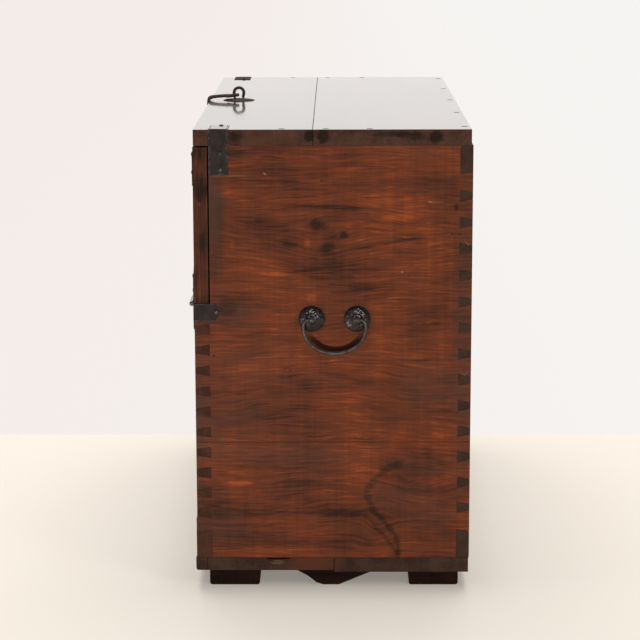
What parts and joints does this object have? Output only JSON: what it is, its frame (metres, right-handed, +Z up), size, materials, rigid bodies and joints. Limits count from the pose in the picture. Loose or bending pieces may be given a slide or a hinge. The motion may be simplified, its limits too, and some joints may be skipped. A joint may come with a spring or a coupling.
{
  "type": "drop-front storage chest",
  "caption": "Low dovetailed pine chest on sled feet, its upper front a drop-down door, with iron straps, hinges, hasp, lock plate, pulls and side bail handles.",
  "frame": {"origin": "on the floor under the middle of the whole closed chest, ironwork included", "axes": "+Z up, the front with its door faces -Y, +X is the chest's right side for someone facing its front"},
  "size_m": [0.984, 0.4528, 0.7611],
  "materials": {
    "side_wood": "waxed pine, red-brown",
    "front_wood": "waxed pine, red-brown",
    "top_wood": "polished, satin",
    "back_wood": "plain, dull",
    "base_wood": "stained dark, worn",
    "foot_wood": "stained very dark",
    "peg_wood": "end grain",
    "sheet_iron": "blackened, burnished at the edges",
    "forged_iron": "blackened, rubbed bright",
    "nail_iron": "blackened"
  },
  "bodies": {
    "carcass": {"side_upper_board_right": "side_wood", "side_upper_board_left": "side_wood", "side_lower_board_right": "side_wood", "side_lower_board_left": "side_wood", "front_panel": "front_wood", "top_front_board": "top_wood", "top_back_board": "top_wood", "back_upper_board": "back_wood", "back_lower_board": "back_wood", "base_front_strip": "base_wood", "base_front_board": "base_wood", "base_back_board": "base_wood", "foot_rail_right": "foot_wood", "foot_rail_left": "foot_wood", "top_pegs": "peg_wood", "top_corner_strap_right": "sheet_iron", "top_corner_strap_left": "sheet_iron", "hinge_lower_leaf_right": "sheet_iron", "hinge_lower_leaf_left": "sheet_iron", "lower_corner_plate_right": "sheet_iron", "lower_corner_plate_left": "sheet_iron", "hasp_plate": "sheet_iron", "handle_rosettes": "sheet_iron", "hasp_eye": "forged_iron", "hinge_pin_right": "forged_iron", "hinge_pin_left": "forged_iron", "handle_eyes": "forged_iron", "top_strap_nails": "nail_iron", "hinge_carcass_nails": "nail_iron", "lower_plate_nails": "nail_iron"},
    "door": {"door_panel": "front_wood", "door_batten_right": "front_wood", "door_batten_left": "front_wood", "hinge_upper_leaf_right": "sheet_iron", "hinge_upper_leaf_left": "sheet_iron", "hinge_door_nails": "nail_iron", "door_corner_plate_right": "sheet_iron", "door_corner_plate_left": "sheet_iron", "door_plate_nails": "nail_iron", "lock_plate": "sheet_iron", "lock_plate_nails": "nail_iron", "lock_staple": "forged_iron", "door_pull_rosettes": "sheet_iron", "door_pull_eyes": "forged_iron"},
    "hasp": {"hasp": "forged_iron"},
    "handle_right": {"handle_bail_right": "forged_iron"},
    "handle_left": {"handle_bail_left": "forged_iron"},
    "pull_right": {"door_pull_bail_right": "forged_iron"},
    "pull_left": {"door_pull_bail_left": "forged_iron"}
  },
  "joints": [
    {"name": "door_hinge", "type": "hinge", "parent": "carcass", "child": "door", "pos_m": [0, -0.21155, 0.4642], "axis": [1, 0, 0], "range_deg": [0, 174]},
    {"name": "hasp_lift", "type": "hinge", "parent": "carcass", "child": "hasp", "pos_m": [0, -0.15675, 0.7469], "axis": [-1, 0, 0], "range_deg": [0, 180]},
    {"name": "handle_right_swing", "type": "hinge", "parent": "carcass", "child": "handle_right", "pos_m": [0.4858, 0.01175, 0.44], "axis": [0, -1, 0], "range_deg": [0, 175]},
    {"name": "handle_left_swing", "type": "hinge", "parent": "carcass", "child": "handle_left", "pos_m": [-0.4858, 0.01175, 0.44], "axis": [0, 1, 0], "range_deg": [0, 175]},
    {"name": "pull_right_swing", "type": "hinge", "parent": "door", "child": "pull_right", "pos_m": [0.18, -0.21835, 0.5964], "axis": [-1, 0, 0], "range_deg": [0, 175]},
    {"name": "pull_left_swing", "type": "hinge", "parent": "door", "child": "pull_left", "pos_m": [-0.18, -0.21835, 0.5964], "axis": [-1, 0, 0], "range_deg": [0, 175]}
  ]
}
